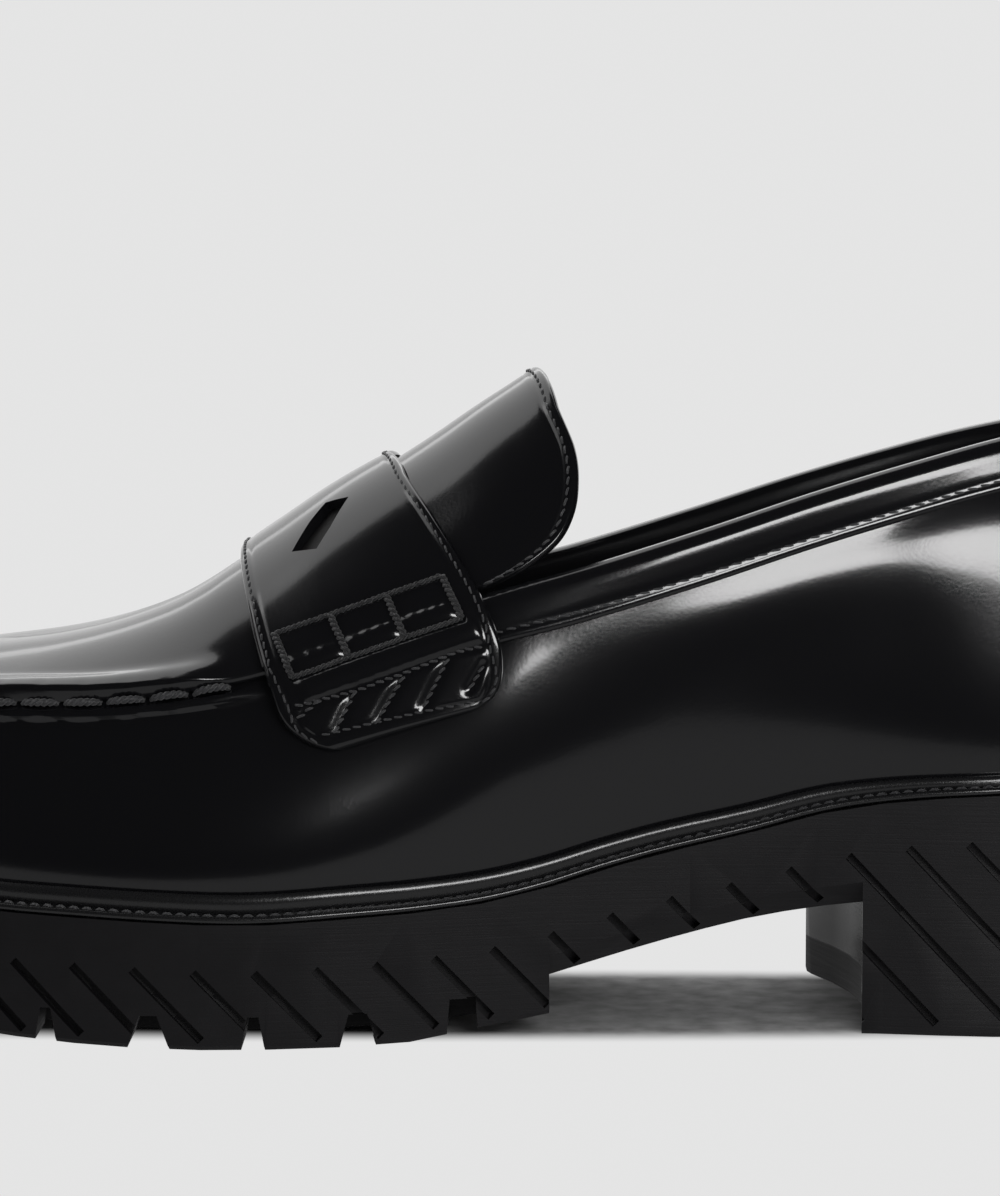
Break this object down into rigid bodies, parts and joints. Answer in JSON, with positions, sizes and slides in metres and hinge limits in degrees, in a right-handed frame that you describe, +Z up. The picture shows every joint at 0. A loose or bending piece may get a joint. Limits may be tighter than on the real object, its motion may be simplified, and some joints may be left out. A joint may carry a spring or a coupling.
{
  "type": "chunky lug sole loafer",
  "caption": "Slip-on leather loafer with a moccasin toe, slotted saddle strap, raised welt and thick lugged rubber sole with a block heel.",
  "frame": {"origin": "middle of the box on the floor, under the shoe", "axes": "+X runs forward to the toe, +Y to the outer side of the foot, +Z up"},
  "size_m": [0.3, 0.1085, 0.1303],
  "materials": {
    "rubber": "moulded matt rubber, finely brushed on its side",
    "edge_leather": "polished edge, stitched",
    "shine_leather": "high shine box leather with a fine grain",
    "lining": "smooth matt lining leather"
  },
  "bodies": {
    "root": {"lug_sole": "rubber", "welt": "edge_leather", "upper": "shine_leather", "apron": "shine_leather", "saddle_strap": "shine_leather", "tongue": "shine_leather", "collar_binding": "shine_leather", "insole": "lining"}
  },
  "joints": []
}
